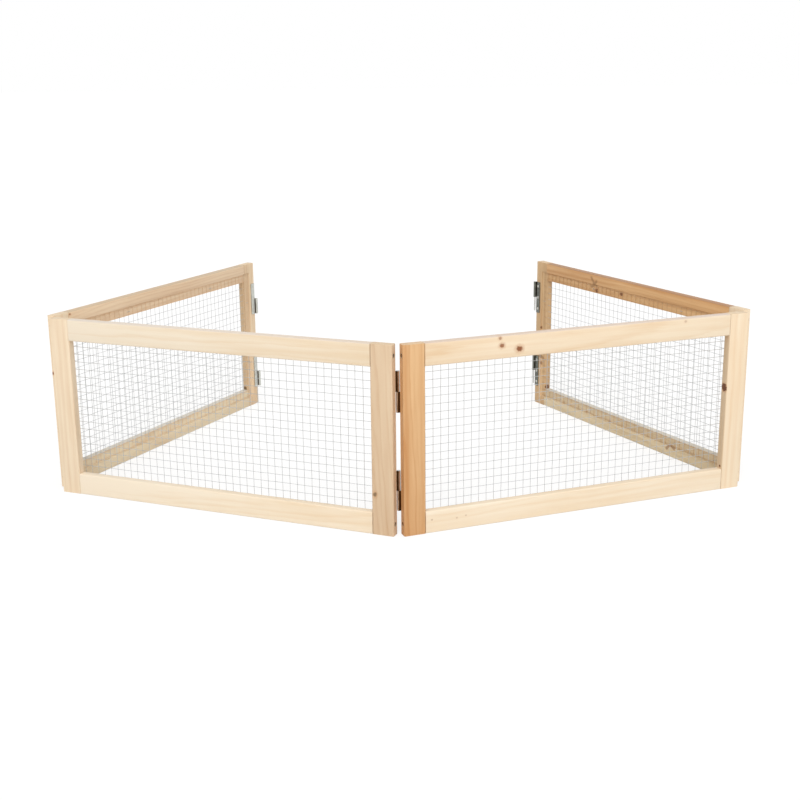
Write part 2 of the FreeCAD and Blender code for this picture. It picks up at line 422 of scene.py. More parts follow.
def leaf_plate():
    """Flat part of a leaf on the inner face, with its free corners rounded."""
    free_edge = PANEL_LENGTH - LEAF_WIDTH
    corners = [
        (free_edge, 0, True), (LEAF_SEAM, 0, False),
        (LEAF_SEAM, HINGE_LENGTH, False), (free_edge, HINGE_LENGTH, True),
    ]
    outline = rounded_outline(corners, LEAF_CORNER, CORNER_SEGMENTS)
    return prism("leaf", outline, ALONG_Y, LEAF_TOP, THICKNESS)


def rolled_barrel(bottom):
    """Barrel rolled from the leaf and open at its seam, with a root inside the flat part."""
    def curl(radius):
        points = []
        for step in range(CURL_SEGMENTS + 1):
            angle = -math.pi / 2 + (CURL_END + math.pi / 2) * step / CURL_SEGMENTS
            points.append((RIGHT_AXIS_X + radius * math.cos(angle), AXIS_Y + radius * math.sin(angle)))
        return points

    root = LEAF_SEAM - BARREL_ROOT
    outline = [(root, THICKNESS), *curl(BARREL_RADIUS), *reversed(curl(BORE_RADIUS)), (root, LEAF_TOP)]
    return prism("barrel", outline, ALONG_Z, bottom, bottom + BARREL_LENGTH)


def leaf_holes():
    """Cutters for the countersunk holes of a leaf."""
    over = 0.0005
    slope = (HINGE_SCREW_HEAD - HINGE_SCREW_RADIUS) / LEAF_THICKNESS
    narrow = HINGE_SCREW_RADIUS + COUNTERSINK_CLEARANCE
    wide = HINGE_SCREW_HEAD + COUNTERSINK_CLEARANCE + slope * over
    top = LEAF_THICKNESS + over
    profile = [(-over, 0), (-over, narrow), (0, narrow), (top, wide), (top, 0)]
    places = [Matrix.Translation((HINGE_SCREW_X, THICKNESS, z)) @ INWARD for z in HINGE_SCREW_HEIGHTS]
    return [turned("hole", profile, SCREW_SIDES, place) for place in places]


def hinge_half(barrel_bottom):
    """Leaf that is rolled into a barrel over half of its length."""
    whole = combined(leaf_plate(), [rolled_barrel(barrel_bottom)], "UNION")
    return cleaned(eased(combined(whole, leaf_holes(), "DIFFERENCE"), LEAF_EASE))


# Pins and screws along Z

def pin_mesh():
    """Pin standing on z = 0, tapered below and domed above."""
    length = HINGE_LENGTH - PIN_END_CLEARANCE
    tip = 0.0025
    nose = 0.0009
    rounding = 0.0003
    dome = 0.0004
    profile = [
        (0, 0), (0, nose), (rounding, nose + rounding), (tip, PIN_RADIUS), (length - dome, PIN_RADIUS),
        (length - dome / 3, PIN_RADIUS - dome / 3), (length, PIN_RADIUS - dome), (length, 0),
    ]
    return turned("pin", profile, SCREW_SIDES, Matrix())


def slot_cutter(radius, depth, turn):
    """Cutter for one slot of a cross recess, narrowing downwards from z = 0."""
    thin = radius * SLOT_WIDTH_SHARE
    over = depth * 0.4
    spin = Matrix.Rotation(turn, 4, "Z")
    corners = [(-radius, -thin), (radius, -thin), (radius, thin), (-radius, thin)]
    low = [spin @ Vector((x * SLOT_TAPER[0], y * SLOT_TAPER[1], -depth)) for x, y in corners]
    high = [spin @ Vector((x, y, over)) for x, y in corners]
    return mesh_from("slot", lambda bm: add_solid(bm, [low, high]))


def screw_mesh(profile, recess):
    """Screw with the top of its head at z = 0; recess is the radius and the depth of its cross."""
    body = turned("screw", profile, SCREW_SIDES, Matrix())
    slots = [slot_cutter(*recess, turn) for turn in (0, math.pi / 2)]
    return cleaned(combined(body, slots, "DIFFERENCE"))


def hinge_screw_mesh():
    rim = 0.0002
    point = 0.003
    neck = HINGE_SCREW_RADIUS * 0.85
    depth = -LEAF_THICKNESS - HINGE_SCREW_DEPTH
    profile = [
        (depth, 0), (depth + point, neck), (-LEAF_THICKNESS - rim, HINGE_SCREW_RADIUS),
        (-rim, HINGE_SCREW_HEAD - rim), (0, HINGE_SCREW_HEAD - 1.5 * rim), (0, 0),
    ]
    return screw_mesh(profile, HINGE_SCREW_RECESS)


def frame_screw_mesh():
    dome = 0.0006
    point = 0.006
    seat = -FRAME_SCREW_HEAD_HEIGHT
    tip = seat - FRAME_SCREW_LENGTH
    profile = [
        (tip, 0), (tip + point, FRAME_SCREW_RADIUS), (seat, FRAME_SCREW_RADIUS),
        (seat, FRAME_SCREW_HEAD), (-dome, FRAME_SCREW_HEAD),
        (-dome / 3, FRAME_SCREW_HEAD - dome / 2), (0, FRAME_SCREW_HEAD - 2 * dome), (0, 0),
    ]
    return screw_mesh(profile, FRAME_SCREW_RECESS)


# Shader helpers

def linear(red, green, blue):
    """Colour of 8-bit display values as the renderer counts it."""
    values = []
    for value in (red, green, blue):
        share = value / 255
        values.append(share / 12.92 if share <= 0.04045 else ((share + 0.055) / 1.055) ** 2.4)
    return (*values, 1.0)


class Nodes:
    """Node tree, wired up by short calls. A value is a socket or a fixed value."""

    def __init__(self, tree):
        self.tree = tree
        tree.nodes.clear()

    def node(self, kind, values, **settings):
        """New shader node with these settings and these values at its inputs."""
        made = self.tree.nodes.new("ShaderNode" + kind)
        for key, value in settings.items():
            setattr(made, key, value)
        for key, value in values.items():
            if isinstance(value, bpy.types.NodeSocket):
                self.tree.links.new(value, made.inputs[key])
            else:
                made.inputs[key].default_value = value
        return made

    def fed(self, kind, *values, **settings):
        """First output of a new node whose first inputs get these values."""
        return self.node(kind, dict(enumerate(values)), **settings).outputs[0]

    def math(self, operation, *values):
        return self.fed("Math", *values, operation=operation)

    def vector(self, operation, *values):
        return self.fed("VectorMath", *values, operation=operation)

    def chain(self, operation, first, *others):
        for value in others:
            first = self.math(operation, first, value)
        return first

    def total(self, *values, clamp=False):
        """Sum of values; clamp keeps it between 0 and 1."""
        result = self.chain("ADD", *values)
        result.node.use_clamp = clamp
        return result

    def product(self, *values):
        return self.chain("MULTIPLY", *values)

    def weighted(self, *terms, clamp=False):
        """Sum of terms, each of them a value and its factors."""
        return self.total(*(self.product(*term) for term in terms), clamp=clamp)

    def largest(self, *values):
        return self.chain("MAXIMUM", *values)

    def minus(self, first, second):
        return self.math("SUBTRACT", first, second)

    def apart(self, first, second):
        """How far two values lie apart."""
        return self.math("ABSOLUTE", self.minus(first, second))

    def length(self, first, second):
        """Length of the diagonal over two sides."""
        return self.math("SQRT", self.weighted((first, first), (second, second)))

    def split(self, vector):
        """The three parts of a vector."""
        return self.node("SeparateXYZ", {0: vector}).outputs

    def noise(self, vector, scale=1.0, detail=2.0, roughness=0.5):
        """Noise about 0, mostly between -0.5 and 0.5."""
        values = {"Vector": vector, "Scale": scale, "Detail": detail, "Roughness": roughness}
        return self.minus(self.node("TexNoise", values).outputs[0], 0.5)

    def drawn_out(self, vector, waves, **settings):
        """Noise that has its own number of waves along each axis."""
        return self.noise(self.vector("MULTIPLY", vector, waves), **settings)

    def step(self, value, low, high):
        """Smooth rise from 0 at low to 1 at high; low may be above high."""
        values = {"Value": value, "From Min": low, "From Max": high}
        return self.node("MapRange", values, interpolation_type="SMOOTHSTEP").outputs["Result"]

    def ramp(self, factor, stops):
        """Grey value that passes through (place, value) stops."""
        made = self.node("ValToRGB", {0: factor})
        elements = made.color_ramp.elements
        while len(elements) < len(stops):
            elements.new(0.5)
        for element, (place, value) in zip(elements, stops):
            element.position = place
            element.color = (value, value, value, 1)
        return made.outputs[0]

    def mix(self, factor, first, second):
        """Colour between two others, which go to the node's seventh and eighth inputs."""
        values = {"Factor": factor, 6: first, 7: second}
        return self.node("Mix", values, data_type="RGBA").outputs[2]

    def dappled(self, noise, first, second):
        """Two display colours in turn as a noise about 0 goes up and down."""
        return self.mix(self.total(0.5, noise, clamp=True), linear(*first), linear(*second))

    def tint(self, colour, shade, *masks):
        """Colour with a display colour laid over it where the masks say."""
        return self.mix(self.product(*masks), colour, linear(*shade))


BUMP_STRENGTH = 0.6


class Shader(Nodes):
    """Node tree of a new material, with the coordinates of its surface."""

    def __init__(self, name):
        self.material = bpy.data.materials.new(name)
        self.material.use_nodes = True
        super().__init__(self.material.node_tree)
        texture = self.node("TexCoord", {})
        self.place = texture.outputs["Object"]
        self.facing = texture.outputs["Normal"]

    def surface(self, colour, roughness, metallic, height, bump_distance):
        """The material, with a principled shader and a little relief."""
        relief = {"Strength": BUMP_STRENGTH, "Distance": bump_distance, "Height": height}
        values = {
            "Base Color": colour, "Roughness": roughness, "Metallic": metallic,
            "Normal": self.node("Bump", relief).outputs[0],
        }
        return self.showing(self.node("BsdfPrincipled", values).outputs[0])

    def showing(self, shader):
        """The material, with a shader on its surface."""
        self.node("OutputMaterial", {"Surface": shader})
        return self.material


# Places in a batten where a mask is 0 and where it is 1, in millimetres: v across the grain from
# the panel's edge, w from the outer face inwards; for sawn ends, how far a face looks along the grain
OPENING_SIDE_V = (33.2, 34.4)
OUTER_EDGE_V = (1.6, 0.5)
INNER_FACE_W = (7.0, 9.0)
REBATE_V = (18.2, 19.0)
REBATE_W = (11.5, 12.5)
SEAM_V = (32.4, 34.2)
SEAM_BLUR = 0.5
HOLE_RIM = (4.4, 3.7)
HOLE_MOUTH_V = (-0.1, 0.3)
HOLE_END_V = (12.0, 10.0)
END_GRAIN = (0.6, 0.9)

# Knots, dark spots in the side at the opening, and checks: what their radius, length or width is multiplied
# by, and strengths
KNOT_STRETCH = 0.7
KNOT_BEND = (1.7, 1.9)
KNOT_WOBBLE = 0.9
KNOT_HEART = (1.15, 0.6)
KNOT_HALO = (2.2, 0.9)
EDGE_SPOT_HEART = (1.1, 0.8)
EDGE_SPOT_HALO = (1.5, 1.0)
CHECK_WOBBLE = 0.8
CHECK_WIDTH = (1.0, 0.3)
CHECK_LENGTH = (0.5, 0.3)
CHECK_STRENGTH = 0.6
HALO_STRENGTH = 0.45

# Noises in the wood: waves in a millimetre along the grain, across it and inwards
SLOW_BENDS = (0.006, 0.03, 0.03)
FINE_BENDS = (0.025, 0.3, 0.3)
STREAKS = (0.004, 0.11, 0.11)
FIBRES = (0.02, 1.5, 1.5)
CLOUDS = (0.007, 0.03, 0.03)
SAW_MARKS = (0.3, 0.8, 2.4)
KNOT_WAVES = 0.3

# Limits of random draws: a batten's place in the noises and in its log, in millimetres, and its lean
NOISE_OFFSET = (-500, 500)
LOG_AXIS_V = (-30, 65)
LOG_AXIS_W = (25, 70)
LOG_LEAN_V = (-0.03, 0.03)
LOG_LEAN_W = (-0.04, 0.04)

# Year rings: their profile from one to the next, how far apart they are and how far they bend
RING_PROFILE = ((0.0, 0.3), (0.2, 0.0), (0.5, 0.12), (0.86, 1.0), (1.0, 0.3))
RING_SPACING = (3.4, 5.2)
SLOW_BEND = 16
FINE_BEND = 2.6
HEART_BEND = 8
SEED_STRIDE = 31.7

# Shares in the wood's colour, in its relief and in its roughness
BASE_SHARE = 0.24
RING_SHARE = 0.42
STREAK_SHARE = 1.1
FIBRE_SHARE = 0.4
CLOUD_SHARE = 0.7
SAWN_SHARE = 0.6
RING_RELIEF = -0.5
FIBRE_RELIEF = 1.6
SAW_RELIEF = 3.0
PINE_RELIEF = 0.00012
PINE_ROUGHNESS = 0.58
FIBRE_ROUGHNESS = 0.25

# Display colours of knots and their halos, shadows and sawn ends
RED_BARK = ((112, 64, 36), (170, 108, 66))
GREY_BARK = ((104, 84, 56), (150, 122, 86))
DARK_BARK = ((54, 32, 18), (146, 88, 50))
UMBER_BARK = ((92, 60, 36), (140, 96, 60))
OLIVE_BARK = ((116, 72, 34), (160, 106, 58))
HALO = (204, 146, 96)
REBATE_SHADOW = (150, 104, 62)
HOLE_SHADOW = (84, 58, 38)
SAWN_ENDS = ((238, 218, 188), (212, 184, 148))


class Pine(Shader):
    """Planed pine for one batten, cut from a log whose axis runs nearly along the grain.

    Figure holds what marks the batten, in millimetres from its corner:
    "knots" in the wide faces are (along, across, radius, strength),
    "edge_spots" in the side at the opening are (along, depth, radius),
    "checks" are strokes in the inner face (along, across, length, width, slant in degrees),
    "bark" gives the two colours of all these,
    "heart" holds darker bands (across, half width, strength),
    "fade" is (along, share of the summer colour gained in each 100 mm from there on),
    "side" and "edge" are painted light and shade, each a colour with a strength, on the side at the opening
    and on the one opposite,
    "rebate", "bored" and "seam" say how dark the painted shade is in the rebate, in a stile's screw holes
    and along its joints.
    """

    def __init__(self, name, seed, figure):
        super().__init__(name)
        self.seed = seed
        self.figure = figure
        self.draw = random.Random(seed)
        place = self.vector("MULTIPLY", self.place, (MILLIMETRES,) * 3)
        self.u, self.v, depth = self.split(place)
        self.w = self.math("ABSOLUTE", depth)
        offset = [self.draw.uniform(*NOISE_OFFSET) for _ in range(3)]
        self.sample = self.vector("ADD", place, offset)
        self.wobble = self.noise(self.sample, scale=KNOT_WAVES)
        self.slow = self.drawn_out(self.sample, SLOW_BENDS, detail=1)
        self.fibre = self.drawn_out(self.sample, FIBRES, detail=3, roughness=0.6)
        self.bent = self.v
        self.hearts = []
        self.halos = []

    def within(self, distance, size, limits):
        """Mask that rises between two multiples of a size."""
        return self.step(distance, size * limits[0], size * limits[1])

    def add_dark_spot(self, distance, radius, heart, halo, strength):
        """Heart and halo of a dark spot, each within two multiples of its radius."""
        for masks, limits in ((self.hearts, heart), (self.halos, halo)):
            masks.append(self.product(self.within(distance, radius, limits), strength))

    def add_knots(self):
        """Knots in the wide faces, with the grain bent round them."""
        for along, across, radius, strength in self.figure.get("knots", ()):
            du = self.minus(self.u, along)
            dv = self.minus(self.v, across)
            squares = self.weighted((du, du, KNOT_STRETCH), (dv, dv))
            pull, ease = (share * radius ** 2 for share in KNOT_BEND)
            pull = self.math("DIVIDE", pull, self.total(squares, ease))
            self.bent = self.minus(self.bent, self.product(dv, pull))
            wobble = self.product(self.wobble, KNOT_WOBBLE * radius)
            distance = self.total(self.math("SQRT", squares), wobble)
            self.add_dark_spot(distance, radius, KNOT_HEART, KNOT_HALO, strength)

    def add_edge_spots(self):
        """Dark spots in the side at the opening."""
        opening_side = self.step(self.v, *OPENING_SIDE_V)
        for along, inward, radius in self.figure.get("edge_spots", ()):
            reach = self.length(self.minus(self.u, along), self.minus(self.w, inward))
            distance = self.total(reach, self.product(self.wobble, radius))
            self.add_dark_spot(distance, radius, EDGE_SPOT_HEART, EDGE_SPOT_HALO, opening_side)

    def add_checks(self):
        """Slanting strokes in the inner face."""
        inner_face = self.step(self.w, *INNER_FACE_W)
        for along, across, length, width, slant in self.figure.get("checks", ()):
            du = self.minus(self.u, along)
            dv = self.minus(self.v, across)
            cosine = math.cos(math.radians(slant))
            sine = math.sin(math.radians(slant))
            ahead = self.weighted((du, cosine), (dv, sine))
            aside = self.minus(self.product(dv, cosine), self.product(du, sine))
            aside = self.total(aside, self.product(self.wobble, CHECK_WOBBLE * width))
            across_stroke = self.within(self.math("ABSOLUTE", aside), width, CHECK_WIDTH)
            along_stroke = self.within(self.math("ABSOLUTE", ahead), length, CHECK_LENGTH)
            self.hearts.append(self.product(across_stroke, along_stroke, inner_face, CHECK_STRENGTH))

    def year_rings(self):
        """Lines of summer wood about the log's axis, each of its own strength."""
        axis_v = self.draw.uniform(*LOG_AXIS_V)
        axis_w = self.draw.choice((-1, 1)) * self.draw.uniform(*LOG_AXIS_W)
        lean_v = self.draw.uniform(*LOG_LEAN_V)
        lean_w = self.draw.uniform(*LOG_LEAN_W)
        spacing = self.draw.uniform(*RING_SPACING)
        fine = self.drawn_out(self.sample, FINE_BENDS, detail=2)
        bend = self.product(self.slow, SLOW_BEND)
        from_v = self.total(self.minus(self.bent, axis_v), self.product(self.u, lean_v), bend)
        from_w = self.total(self.minus(self.w, axis_w), self.product(self.u, lean_w))
        from_axis = self.total(self.length(from_v, from_w), self.product(fine, FINE_BEND))
        rings = self.math("DIVIDE", from_axis, spacing)
        number = self.total(self.math("FLOOR", rings), self.seed * SEED_STRIDE)
        lot = self.node("TexWhiteNoise", {"W": number}, noise_dimensions="1D").outputs["Value"]
        return self.product(self.ramp(self.math("FRACT", rings), RING_PROFILE), lot)

    def grain_colour(self, line, tones):
        """Colour of the clear wood: rings, long streaks, fibres and slow changes of tone."""
        streak = self.drawn_out(self.sample, STREAKS, detail=3)
        cloud = self.drawn_out(self.sample, CLOUDS, detail=2)
        shares = [
            (line, RING_SHARE), (streak, STREAK_SHARE), (self.fibre, FIBRE_SHARE), (cloud, CLOUD_SHARE),
            (BASE_SHARE,),
        ]
        for across, half_width, strength in self.figure.get("heart", ()):
            offset = self.total(self.apart(self.bent, across), self.product(self.slow, HEART_BEND))
            shares.append((self.step(offset, half_width, 0.0), strength))
        if "fade" in self.figure:
            along, change = self.figure["fade"]
            shares.append((self.minus(self.u, along), change / 100))
        spring, summer = (linear(*tone) for tone in tones)
        return self.mix(self.weighted(*shares, clamp=True), spring, summer)

    def with_marks(self, colour):
        """Colour with painted light and shade on the batten's sides, painted shade in its rebate, and its
        knots, dark spots and checks.
        """
        # Painted light and shade on the side at the opening and on the one opposite
        for name, limits in (("side", OPENING_SIDE_V), ("edge", OUTER_EDGE_V)):
            if name in self.figure:
                shade, strength = self.figure[name]
                colour = self.tint(colour, shade, self.step(self.v, *limits), strength)
        # Painted shade on the rebate's floor
        if "rebate" in self.figure:
            floor = self.product(self.step(self.v, *REBATE_V), self.step(self.w, *REBATE_W))
            colour = self.tint(colour, REBATE_SHADOW, floor, self.figure["rebate"])
        if self.hearts:
            bark = self.dappled(self.wobble, *self.figure.get("bark", RED_BARK))
            colour = self.tint(colour, HALO, self.largest(*self.halos), HALO_STRENGTH)
            colour = self.mix(self.largest(*self.hearts), colour, bark)
        return colour

    def with_joints(self, colour):
        """Colour with painted shade in a stile's screw holes and along its joints with the rails."""
        low, high = (self.apart(self.u, MILLIMETRES * height) for height in FRAME_SCREW_HEIGHTS)
        from_screw = self.math("MINIMUM", low, high)
        from_middle = self.minus(self.w, MILLIMETRES * THICKNESS / 2)
        rim = self.step(self.length(from_screw, from_middle), *HOLE_RIM)
        hole = self.product(rim, self.step(self.v, *HOLE_MOUTH_V), self.step(self.v, *HOLE_END_V))
        colour = self.tint(colour, HOLE_SHADOW, hole, self.figure["bored"])
        half_rail = MILLIMETRES * RAIL_HEIGHT / 2
        beside_rail = self.step(from_screw, half_rail + SEAM_BLUR, half_rail - SEAM_BLUR)
        return self.tint(colour, HOLE_SHADOW, self.step(self.v, *SEAM_V), beside_rail, self.figure["seam"])

    def finished(self, colour, line):
        """The material, with its ends sawn and rougher than the planed faces."""
        end = self.step(self.math("ABSOLUTE", self.split(self.facing)[0]), *END_GRAIN)
        saw = self.drawn_out(self.sample, SAW_MARKS, detail=2)
        colour = self.mix(self.product(end, SAWN_SHARE), colour, self.dappled(saw, *SAWN_ENDS))
        height = self.weighted((line, RING_RELIEF), (self.fibre, FIBRE_RELIEF), (end, saw, SAW_RELIEF))
        roughness = self.total(PINE_ROUGHNESS, self.product(self.fibre, FIBRE_ROUGHNESS))
        return self.surface(colour, roughness, 0.0, height, PINE_RELIEF)


def pine(name, seed, tones, figure):
    """Material of one batten; tones are the colours of its pale spring wood and its summer wood."""
    wood = Pine(name, seed, figure)
    wood.add_knots()
    wood.add_edge_spots()
    wood.add_checks()
    line = wood.year_rings()
    colour = wood.with_marks(wood.grain_colour(line, tones))
    if "bored" in figure:
        colour = wood.with_joints(colour)
    return wood.finished(colour, line)


# Zinc: what the waves of its grain are multiplied by, and the shares of its patches and specks
SPECK_WAVES = 9
SCRATCH_WAVES = 14
SCRATCH_DIRECTIONS = (1, 1, 0.06)
PATCH_SHARE = 1.3
SPECK_SHARE = 0.5
ZINC_DULLNESS = 0.25
ZINC_RELIEF = 0.00003

# Outer side of a hinge, told by the Y of its normals: painted shade to just beyond its axis, in metres,
# and a painted highlight farther out
PAINTED_HINGE_HIGHLIGHT = (226, 204, 180)
OUTWARD_Y = (0.2, -0.2)
HINGE_SHADE_EDGE = (0.0019, 0.0012)
HINGE_SHADE_WAVER = 0.0008


def with_painted_hinge_light(shader, colour, patch, painted_hinge_shade):
    """Colour with a painted highlight on a hinge's outer side, and brown painted shade next to its own
    stile.
    """
    outward = shader.step(shader.split(shader.facing)[1], *OUTWARD_Y)
    from_middle = shader.apart(shader.split(shader.place)[0], PANEL_LENGTH / 2)
    uneven = shader.total(from_middle, shader.product(patch, HINGE_SHADE_WAVER))
    axis = PANEL_LENGTH / 2 + AXIS_OVERHANG
    own_side = shader.step(uneven, axis + HINGE_SHADE_EDGE[0], axis + HINGE_SHADE_EDGE[1])
    return shader.mix(outward, colour, shader.mix(own_side, linear(*PAINTED_HINGE_HIGHLIGHT), linear(*painted_hinge_shade)))


def with_painted_wood_reflection(shader, colour, painted_wood_reflection):
    """Colour with a painted reflection of the wood and its shade on mesh wires where they lie on the
    battens or next to a stile.
    """
    x, _, z = shader.split(shader.place)
    beside = PANEL_LENGTH / 2 - STILE_WIDTH - MESH_PITCH / 2
    on_stile = shader.math("GREATER_THAN", shader.apart(x, PANEL_LENGTH / 2), beside)
    on_rail = shader.math("GREATER_THAN", shader.apart(z, PANEL_HEIGHT / 2), PANEL_HEIGHT / 2 - RAIL_HEIGHT)
    return shader.mix(shader.largest(on_stile, on_rail), colour, linear(*painted_wood_reflection))


def zinc(name, tones, roughness, grain, painted_hinge_shade=None, painted_wood_reflection=None):
    """Zinc plating: patches of crystal in two tones, fine scratches and dull spots; hinges may get painted
    shade and a painted highlight, wires a painted reflection of the wood they lie on.
    """
    shader = Shader(name)
    patch = shader.noise(shader.place, scale=grain, detail=3)
    speck = shader.noise(shader.place, scale=grain * SPECK_WAVES)
    scratch = shader.drawn_out(shader.place, SCRATCH_DIRECTIONS, scale=grain * SCRATCH_WAVES)
    crystals = shader.weighted((patch, PATCH_SHARE), (speck, SPECK_SHARE))
    colour = shader.dappled(crystals, *tones)
    if painted_hinge_shade:
        colour = with_painted_hinge_light(shader, colour, patch, painted_hinge_shade)
    if painted_wood_reflection:
        colour = with_painted_wood_reflection(shader, colour, painted_wood_reflection)
    dull = shader.product(shader.total(patch, speck), ZINC_DULLNESS)
    roughness = shader.total(roughness, dull, clamp=True)
    return shader.surface(colour, roughness, 1.0, shader.total(speck, scratch), ZINC_RELIEF)


# Display colours of the battens' spring wood and summer wood, and of the painted light and shade on some of
# their sides
PALE = ((248, 233, 210), (236, 210, 174))
CREAM = ((249, 230, 202), (236, 204, 164))
WHEAT = ((249, 230, 202), (219, 184, 145))
PINKISH = ((233, 208, 176), (212, 176, 138))
HONEY = ((232, 190, 140), (206, 148, 92))
PEACH = ((247, 221, 188), (226, 189, 152))
TAN = ((243, 220, 187), (219, 184, 145))
BROWN = ((242, 198, 144), (206, 150, 94))
DRIFT = ((236, 217, 182), (202, 176, 136))
FLAX = ((243, 227, 196), (221, 193, 156))
GREYED = ((220, 186, 142), (182, 140, 96))
# Painted shade on the side at the opening of some stiles, and painted light on the tops of the sills
SHADED = (184, 145, 97)
PAINTED_SILL_LIGHT = (226, 226, 222)
# Painted light on the top faces of the front top rails, and painted shade on those of the back ones
PAINTED_ROSY_TOP_LIGHT = (201, 187, 186)
PAINTED_SILVER_TOP_LIGHT = (213, 204, 200)
PAINTED_TOP_SHADE = (167, 149, 124)
PAINTED_DEEP_TOP_SHADE = (143, 110, 91)

# Tones and figure of each batten; a stile also has STILE_FIGURE where its own figure doesn't differ
STILE_FIGURE = dict(bored=0.7, seam=0.08)
FIRST_SEED = 11
BATTENS = {
    "front_left_left_stile": (WHEAT, {}),
    "front_left_top_rail": (PALE, dict(fade=(265, 0.14), edge=(PAINTED_SILVER_TOP_LIGHT, 0.5))),
    "front_left_bottom_rail": (PALE, dict(fade=(400, 0.14))),
    "front_left_right_stile": (PINKISH, dict(
        knots=((64.6, 30.1, 3.4, 0.85),), bark=GREY_BARK, seam=0.28,
    )),
    "front_right_left_stile": (HONEY, dict(heart=((3, 14, 0.35),), fade=(210, -0.14), seam=0.28)),
    "front_right_top_rail": (CREAM, dict(
        knots=(
            (153.3, 22.2, 4.5, 1.0), (124, 14.9, 3.4, 0.9), (120.9, 3.4, 2.4, 0.6), (445.5, 4.5, 2.0, 0.3),
        ),
        fade=(280, -0.08), edge=(PAINTED_ROSY_TOP_LIGHT, 0.5),
    )),
    "front_right_bottom_rail": (PALE, dict(
        knots=((9.8, 21, 1.2, 0.4), (51.2, 18.3, 1.2, 0.3), (66.3, 20.2, 1.2, 0.3)), bark=GREY_BARK,
    )),
    "front_right_right_stile": (CREAM, dict(
        edge_spots=((174.3, 6.5, 6.8), (39.5, 5, 2.0)), bark=DARK_BARK, side=(SHADED, 0.45),
    )),
    "back_left_left_stile": (TAN, dict(
        edge_spots=((37.5, 5.5, 4.0),), bark=GREY_BARK, side=(SHADED, 0.45), rebate=0.1,
    )),
    "back_left_top_rail": (PEACH, dict(knots=((527, 4.1, 1.7, 0.9),), edge=(PAINTED_TOP_SHADE, 0.5))),
    "back_left_bottom_rail": (FLAX, dict(side=(PAINTED_SILL_LIGHT, 0.6))),
    "back_left_right_stile": (CREAM, dict(knots=((199.2, 1.5, 2.6, 1.0),), bored=0.4)),
    "back_right_left_stile": (CREAM, dict(bored=0.4)),
    "back_right_top_rail": (BROWN, dict(
        knots=((364.4, 29.8, 4.2, 1.0), (288.8, 24.8, 4.0, 1.0)),
        checks=((372.1, 14.4, 32, 4.2, -45), (371.9, 18.5, 32, 4.0, 35)), bark=OLIVE_BARK,
        heart=((13, 8, 0.3), (0, 10, 0.5)), edge=(PAINTED_DEEP_TOP_SHADE, 0.6), rebate=0.08,
    )),
    "back_right_bottom_rail": (DRIFT, dict(
        knots=((384, 21.5, 2.2, 0.5), (309.5, 21, 2.4, 0.6), (462, 22.5, 2.4, 0.3)),
        checks=((135.2, 16.9, 18, 3.8, -47), (123.3, 19.2, 20, 3.4, 22)),
        side=(PAINTED_SILL_LIGHT, 0.6), rebate=0.12,
    )),
    "back_right_right_stile": (GREYED, dict(
        knots=((87.5, 20, 3.4, 0.6), (162, 18.5, 2.4, 0.8)), edge_spots=((38.5, 8.0, 5.0),),
        checks=((100.5, 19.5, 22, 5.0, 104),), bark=UMBER_BARK,
    )),
}

# Finishes of the metal, and which panels and hinge halves have one of their own; those copies hold painted
# light and painted reflections
WIRE = dict(tones=((200, 201, 201), (174, 176, 177)), roughness=0.4, grain=60)
# Hinges get brown painted shade next to their own stiles
HINGE = dict(roughness=0.36, grain=140, painted_hinge_shade=(80, 54, 30))
FINISHES = {
    "wire_zinc": WIRE,
    # Copies of the wire finish with a painted reflection of the wood, paler on the back left panel and
    # darker on the back right one
    "wire_zinc_pale_painted_reflection": dict(WIRE, painted_wood_reflection=(228, 198, 162)),
    "wire_zinc_dark_painted_reflection": dict(WIRE, painted_wood_reflection=(206, 172, 132)),
    "hinge_zinc": dict(HINGE, tones=((176, 174, 166), (120, 116, 108))),
    # Lit and shaded copies of the hinge finish: painted light and shade for the back panels' free-end hinge
    # halves
    "lit_hinge_zinc": dict(HINGE, tones=((222, 223, 216), (178, 180, 172))),
    "shaded_hinge_zinc": dict(HINGE, tones=((140, 142, 134), (86, 88, 82))),
    "pin_zinc": dict(tones=((236, 238, 236), (206, 208, 206)), roughness=0.3, grain=140),
    "screw_zinc": dict(tones=((230, 228, 220), (180, 176, 168)), roughness=0.34, grain=220),
    "dark_screw_zinc": dict(tones=((96, 84, 70), (60, 50, 40)), roughness=0.4, grain=220),
    "staple_steel": dict(tones=((214, 216, 216), (160, 164, 166)), roughness=0.4, grain=200),
}
WIRE_FINISHES = {"back_left": "wire_zinc_pale_painted_reflection", "back_right": "wire_zinc_dark_painted_reflection"}
HINGE_FINISHES = {("back_left", "socket"): "lit_hinge_zinc", ("back_right", "pin"): "shaded_hinge_zinc"}

# Bodies that the pins ride on; those at the free right end ride on their panel
PIN_BODIES = {panel: corner + "_pins" for panel, corner in zip(PANELS, CORNERS)}

# How far each hinge screw or pair of frame screws is turned from the one before, in degrees
HINGE_SCREW_TURN = 37
FRAME_SCREW_TURN = 106
FIRST_FRAME_SCREW_TURN = 20


# Putting the pieces on the run

def dress(piece, body, node):
    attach(piece, body)
    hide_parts(node)


def place_battens():
    shapes = {"stile": stile_mesh(), "rail": rail_mesh()}
    frames = batten_frames()
    for seed, (node, (tones, figure)) in enumerate(BATTENS.items(), start=FIRST_SEED):
        panel = next(name for name in PANELS if node.startswith(name))
        batten = node[len(panel) + 1:]
        kind = batten.split("_")[1]
        mesh = shapes[kind].copy()
        matrix = MATRICES[panel] @ frames[batten]
        if matrix.determinant() < 0:
            mesh.transform(MIRROR_FACES)
            mesh.flip_normals()
            matrix = matrix @ MIRROR_FACES
        if kind == "stile":
            figure = {**STILE_FIGURE, **figure}
        finish_mesh(mesh, pine("pine_" + node, seed, tones, figure))
        piece = new_object(node + "_batten", mesh)
        piece.matrix_world = matrix
        dress(piece, panel, node)


